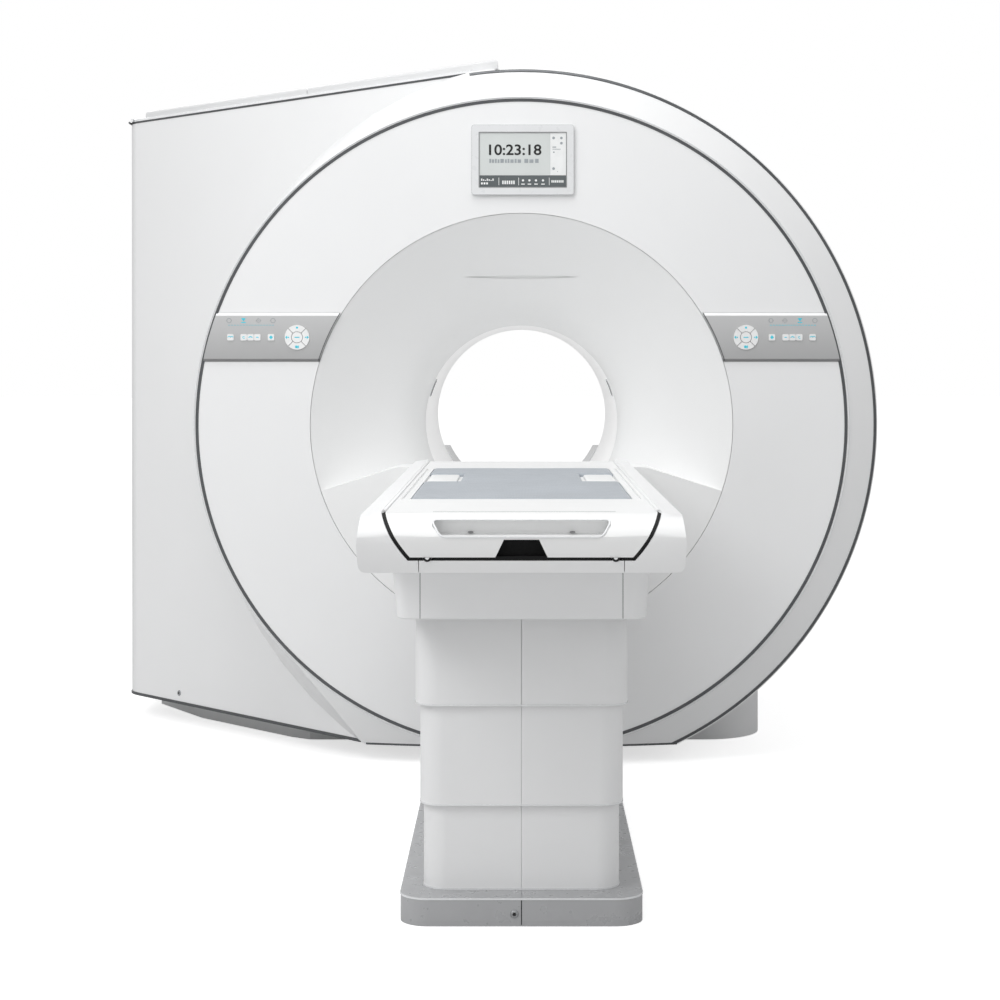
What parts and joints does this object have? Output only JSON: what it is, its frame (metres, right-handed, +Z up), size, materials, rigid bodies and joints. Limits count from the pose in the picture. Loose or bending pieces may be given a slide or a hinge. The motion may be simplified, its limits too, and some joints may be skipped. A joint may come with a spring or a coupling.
{
  "type": "mri scanner",
  "caption": "Closed-bore magnetic resonance scanner with a round funnelled face, a flat flank, side control bands, a display and a lifting table with a sliding cradle.",
  "frame": {"origin": "on the floor straight below the isocentre, the middle of the patient bore", "axes": "+X to the right, +Y into the bore, +Z up, seen from the foot of the patient table"},
  "size_m": [2.5959, 4.014, 2.2231],
  "materials": {
    "cover_white": "satin moulded",
    "face_white": "satin moulded",
    "funnel_white": "satin moulded",
    "tube_white": "matt laminate",
    "panel_grey": "fine matt",
    "key_white": "satin",
    "bezel_grey": "satin",
    "screen": "gloss",
    "pedestal_grey": "matt",
    "vessel_metal": "satin",
    "coil_resin": "cast resin",
    "cold_head_metal": "brushed",
    "cast_feet": "painted",
    "column_steel": "satin",
    "table_white": "satin moulded",
    "cradle_white": "satin laminate",
    "mat_grey": "fine grain vinyl",
    "shroud_white": "satin",
    "plinth_grey": "matt"
  },
  "bodies": {
    "gantry": {"front_cover": "cover_white", "rear_cover": "cover_white", "funnel": "funnel_white", "bore_tube": "tube_white", "bore_bridge": "tube_white", "face_upper": "face_white", "face_lower": "face_white", "panel_left": "panel_grey", "panel_right": "panel_grey", "display_frame": "bezel_grey", "display_screen": "screen", "roof_lid_left": "cover_white", "roof_lid_right": "cover_white", "pedestal": "pedestal_grey", "magnet_vessel": "vessel_metal", "cold_head": "cold_head_metal", "gradient_coil": "coil_resin", "magnet_feet": "cast_feet", "table_base": "column_steel", "plinth_left": "plinth_grey", "plinth_right": "plinth_grey", "shroud_lower_left": "shroud_white", "shroud_lower_right": "shroud_white"},
    "column_middle": {"lift_stage_middle": "column_steel", "shroud_middle_left": "shroud_white", "shroud_middle_right": "shroud_white"},
    "table_top": {"lift_stage_top": "column_steel", "apron": "table_white", "deck_centre": "table_white", "deck_left": "table_white", "deck_right": "table_white", "shroud_upper_left": "shroud_white", "shroud_upper_right": "shroud_white"},
    "cradle": {"cradle_tray": "cradle_white", "end_cap": "cradle_white", "mat": "mat_grey"},
    "button_pad_left_centre": {"pad_left_centre": "key_white"},
    "button_pad_left_outer": {"pad_left_outer": "key_white"},
    "button_pad_left_up": {"pad_left_up": "key_white"},
    "button_pad_left_inner": {"pad_left_inner": "key_white"},
    "button_pad_left_down": {"pad_left_down": "key_white"},
    "button_key_left_1": {"key_left_1": "key_white"},
    "button_key_left_2": {"key_left_2": "key_white"},
    "button_key_left_3": {"key_left_3": "key_white"},
    "button_key_left_4": {"key_left_4": "key_white"},
    "button_key_left_5": {"key_left_5": "key_white"},
    "button_pad_right_centre": {"pad_right_centre": "key_white"},
    "button_pad_right_outer": {"pad_right_outer": "key_white"},
    "button_pad_right_up": {"pad_right_up": "key_white"},
    "button_pad_right_inner": {"pad_right_inner": "key_white"},
    "button_pad_right_down": {"pad_right_down": "key_white"},
    "button_key_right_1": {"key_right_1": "key_white"},
    "button_key_right_2": {"key_right_2": "key_white"},
    "button_key_right_3": {"key_right_3": "key_white"},
    "button_key_right_4": {"key_right_4": "key_white"},
    "button_key_right_5": {"key_right_5": "key_white"}
  },
  "joints": [
    {"name": "table_lift", "type": "slide", "parent": "gantry", "child": "table_top", "axis": [0, 0, 1], "range_m": [-0.38, 0]},
    {"name": "shroud_lift", "type": "slide", "parent": "gantry", "child": "column_middle", "axis": [0, 0, 1], "range_m": [-0.19, 0]},
    {"name": "cradle_slide", "type": "slide", "parent": "table_top", "child": "cradle", "axis": [0, 1, 0], "range_m": [0, 1.75]},
    {"name": "pad_left_centre_press", "type": "slide", "parent": "gantry", "child": "button_pad_left_centre", "axis": [0, 1, 0], "range_m": [0, 0.002], "stiffness_N_per_m": 1500},
    {"name": "pad_left_outer_press", "type": "slide", "parent": "gantry", "child": "button_pad_left_outer", "axis": [0, 1, 0], "range_m": [0, 0.002], "stiffness_N_per_m": 1500},
    {"name": "pad_left_up_press", "type": "slide", "parent": "gantry", "child": "button_pad_left_up", "axis": [0, 1, 0], "range_m": [0, 0.002], "stiffness_N_per_m": 1500},
    {"name": "pad_left_inner_press", "type": "slide", "parent": "gantry", "child": "button_pad_left_inner", "axis": [0, 1, 0], "range_m": [0, 0.002], "stiffness_N_per_m": 1500},
    {"name": "pad_left_down_press", "type": "slide", "parent": "gantry", "child": "button_pad_left_down", "axis": [0, 1, 0], "range_m": [0, 0.002], "stiffness_N_per_m": 1500},
    {"name": "key_left_1_press", "type": "slide", "parent": "gantry", "child": "button_key_left_1", "axis": [0, 1, 0], "range_m": [0, 0.002], "stiffness_N_per_m": 1500},
    {"name": "key_left_2_press", "type": "slide", "parent": "gantry", "child": "button_key_left_2", "axis": [0, 1, 0], "range_m": [0, 0.002], "stiffness_N_per_m": 1500},
    {"name": "key_left_3_press", "type": "slide", "parent": "gantry", "child": "button_key_left_3", "axis": [0, 1, 0], "range_m": [0, 0.002], "stiffness_N_per_m": 1500},
    {"name": "key_left_4_press", "type": "slide", "parent": "gantry", "child": "button_key_left_4", "axis": [0, 1, 0], "range_m": [0, 0.002], "stiffness_N_per_m": 1500},
    {"name": "key_left_5_press", "type": "slide", "parent": "gantry", "child": "button_key_left_5", "axis": [0, 1, 0], "range_m": [0, 0.002], "stiffness_N_per_m": 1500},
    {"name": "pad_right_centre_press", "type": "slide", "parent": "gantry", "child": "button_pad_right_centre", "axis": [0, 1, 0], "range_m": [0, 0.002], "stiffness_N_per_m": 1500},
    {"name": "pad_right_outer_press", "type": "slide", "parent": "gantry", "child": "button_pad_right_outer", "axis": [0, 1, 0], "range_m": [0, 0.002], "stiffness_N_per_m": 1500},
    {"name": "pad_right_up_press", "type": "slide", "parent": "gantry", "child": "button_pad_right_up", "axis": [0, 1, 0], "range_m": [0, 0.002], "stiffness_N_per_m": 1500},
    {"name": "pad_right_inner_press", "type": "slide", "parent": "gantry", "child": "button_pad_right_inner", "axis": [0, 1, 0], "range_m": [0, 0.002], "stiffness_N_per_m": 1500},
    {"name": "pad_right_down_press", "type": "slide", "parent": "gantry", "child": "button_pad_right_down", "axis": [0, 1, 0], "range_m": [0, 0.002], "stiffness_N_per_m": 1500},
    {"name": "key_right_1_press", "type": "slide", "parent": "gantry", "child": "button_key_right_1", "axis": [0, 1, 0], "range_m": [0, 0.002], "stiffness_N_per_m": 1500},
    {"name": "key_right_2_press", "type": "slide", "parent": "gantry", "child": "button_key_right_2", "axis": [0, 1, 0], "range_m": [0, 0.002], "stiffness_N_per_m": 1500},
    {"name": "key_right_3_press", "type": "slide", "parent": "gantry", "child": "button_key_right_3", "axis": [0, 1, 0], "range_m": [0, 0.002], "stiffness_N_per_m": 1500},
    {"name": "key_right_4_press", "type": "slide", "parent": "gantry", "child": "button_key_right_4", "axis": [0, 1, 0], "range_m": [0, 0.002], "stiffness_N_per_m": 1500},
    {"name": "key_right_5_press", "type": "slide", "parent": "gantry", "child": "button_key_right_5", "axis": [0, 1, 0], "range_m": [0, 0.002], "stiffness_N_per_m": 1500}
  ],
  "couplings": [
    {"joint": "shroud_lift", "follows": "table_lift", "ratio": 0.5}
  ]
}
